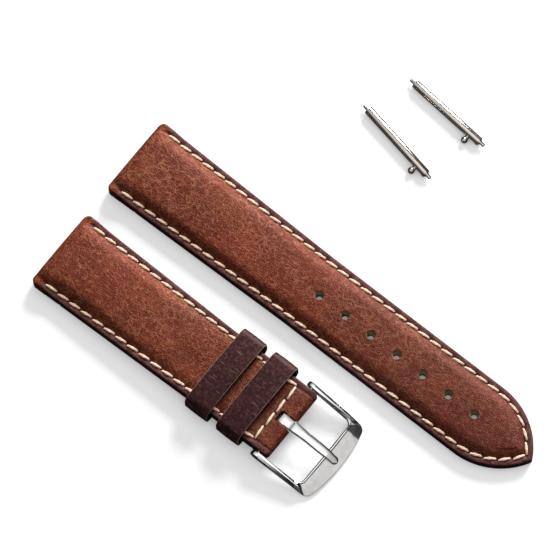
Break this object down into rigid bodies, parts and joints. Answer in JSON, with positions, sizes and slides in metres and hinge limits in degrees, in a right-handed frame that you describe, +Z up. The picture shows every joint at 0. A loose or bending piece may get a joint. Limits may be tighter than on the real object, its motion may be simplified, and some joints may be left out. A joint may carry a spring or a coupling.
{
  "type": "leather watch strap",
  "caption": "Padded leather watch strap in a long and a short piece, with pin buckle, fixed and sliding keepers, and loose quick-release spring bars.",
  "frame": {"origin": "middle of the whole set's box in plan, on the surface that it lies on", "axes": "+X along both strap pieces, from the lug ends towards the tip and the buckle; +Y from the short piece towards the long piece and the loose bars; +Z up"},
  "size_m": [0.1238, 0.1006, 0.0072],
  "materials": {
    "top_leather": "pull-up calf leather, warm brown, waxed",
    "lining_leather": "smooth tan lining leather",
    "padding": "pressed felt",
    "stiffener": "woven reinforcement",
    "thread": "waxed cream thread",
    "keeper_leather": "dark aubergine-brown smooth leather",
    "polished_steel": "polished stainless steel",
    "bar_steel": "turned stainless steel",
    "spring_steel": "spring wire"
  },
  "bodies": {
    "strap_set": {"long_top_leather": "top_leather", "long_filler": "padding", "long_stiffener": "stiffener", "long_lining": "lining_leather", "long_stitching": "thread", "short_top_leather": "top_leather", "short_filler": "padding", "short_stiffener": "stiffener", "short_lining": "lining_leather", "short_stitching": "thread", "short_cross_stitching": "thread", "fixed_keeper": "keeper_leather", "buckle_bar_tube": "bar_steel", "buckle_bar_spring": "spring_steel", "first_bar_tube": "bar_steel", "first_bar_fixed_tip": "bar_steel", "first_bar_spring": "spring_steel", "second_bar_tube": "bar_steel", "second_bar_fixed_tip": "bar_steel", "second_bar_spring": "spring_steel"},
    "free_keeper": {"free_keeper": "keeper_leather"},
    "buckle_frame": {"buckle_frame": "polished_steel"},
    "buckle_tongue": {"buckle_tongue": "polished_steel"},
    "buckle_bar_far_tip": {"buckle_bar_far_tip": "bar_steel"},
    "buckle_bar_near_tip": {"buckle_bar_near_tip": "bar_steel"},
    "first_bar_plunger": {"first_bar_plunger": "bar_steel", "first_bar_release_knob": "bar_steel"},
    "second_bar_plunger": {"second_bar_plunger": "bar_steel", "second_bar_release_knob": "bar_steel"}
  },
  "joints": [
    {"name": "buckle_swing", "type": "hinge", "parent": "strap_set", "child": "buckle_frame", "pos_m": [0.00931, -0.03869, 0.00336], "axis": [0, -1, 0], "range_deg": [-75, 30]},
    {"name": "tongue_swing", "type": "hinge", "parent": "buckle_frame", "child": "buckle_tongue", "pos_m": [0.00931, -0.03869, 0.00336], "axis": [0, -1, 0], "range_deg": [0, 70]},
    {"name": "free_keeper_slide", "type": "slide", "parent": "strap_set", "child": "free_keeper", "axis": [0.9997, 0, 0.0256], "range_m": [-0.012, 0.0024]},
    {"name": "buckle_bar_far_tip_press", "type": "slide", "parent": "strap_set", "child": "buckle_bar_far_tip", "axis": [0, -1, 0], "range_m": [0, 0.0008], "stiffness_N_per_m": 1500},
    {"name": "buckle_bar_near_tip_press", "type": "slide", "parent": "strap_set", "child": "buckle_bar_near_tip", "axis": [0, 1, 0], "range_m": [0, 0.0008], "stiffness_N_per_m": 1500},
    {"name": "first_bar_release", "type": "slide", "parent": "strap_set", "child": "first_bar_plunger", "axis": [-0.9823, 0.1874, 0], "range_m": [0, 0.0015], "stiffness_N_per_m": 1500},
    {"name": "second_bar_release", "type": "slide", "parent": "strap_set", "child": "second_bar_plunger", "axis": [-0.996, 0.0889, 0], "range_m": [0, 0.0015], "stiffness_N_per_m": 1500}
  ]
}
